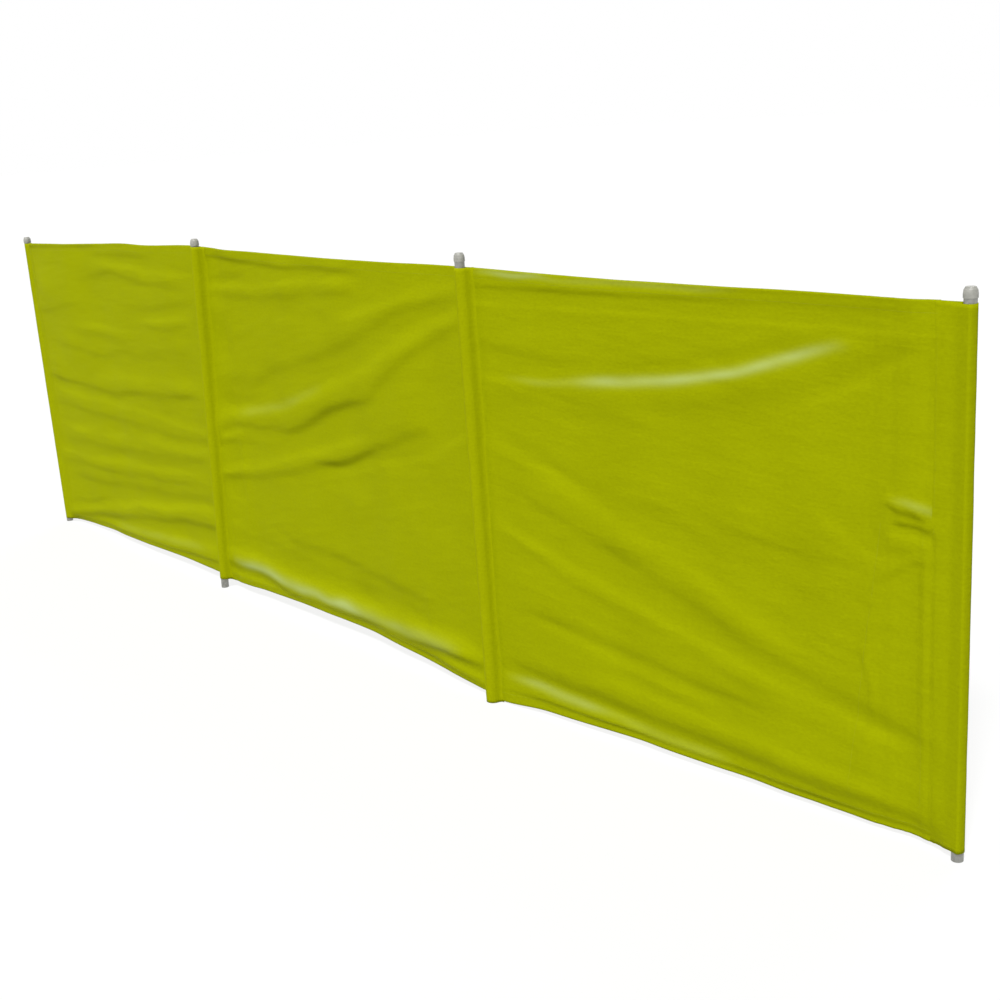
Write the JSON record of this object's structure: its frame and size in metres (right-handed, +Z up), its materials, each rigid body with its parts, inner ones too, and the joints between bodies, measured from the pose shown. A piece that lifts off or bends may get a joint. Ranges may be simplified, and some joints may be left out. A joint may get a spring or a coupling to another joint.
{
  "type": "beach windbreak",
  "caption": "Long windbreak of plain cloth in bays on round capped poles, with sewn pole sleeves, hems and a pocket on the back.",
  "frame": {"origin": "centre of pole 1's foot, at ground level", "axes": "+X along the row from pole 1 to pole 4, +Y to the back, away from the raised sleeves, +Z up"},
  "size_m": [4.552, 0.1273, 1.327],
  "materials": {
    "bay_cloth": "plain woven polyester, lime green, slight sheen",
    "sleeve_cloth": "the same cloth, sewn as pole sleeves",
    "hem_cloth": "the same cloth, folded double",
    "pocket_cloth": "the same cloth, sewn on as a pocket",
    "steel_tube": "dull galvanised tube",
    "grey_cap": "grey moulded plastic"
  },
  "bodies": {
    "root": {"bottom_hem_1": "hem_cloth", "bottom_hem_2": "hem_cloth", "bottom_hem_3": "hem_cloth", "cap_1": "grey_cap", "cap_2": "grey_cap", "cap_3": "grey_cap", "cap_4": "grey_cap", "cloth_bay_1": "bay_cloth", "cloth_bay_2": "bay_cloth", "cloth_bay_3": "bay_cloth", "pocket_hem": "hem_cloth", "pole_1": "steel_tube", "pole_2": "steel_tube", "pole_3": "steel_tube", "pole_4": "steel_tube", "sleeve_1": "sleeve_cloth", "sleeve_2": "sleeve_cloth", "sleeve_3": "sleeve_cloth", "sleeve_4": "sleeve_cloth", "storage_pocket": "pocket_cloth", "top_hem_1": "hem_cloth", "top_hem_2": "hem_cloth", "top_hem_3": "hem_cloth"}
  },
  "joints": []
}
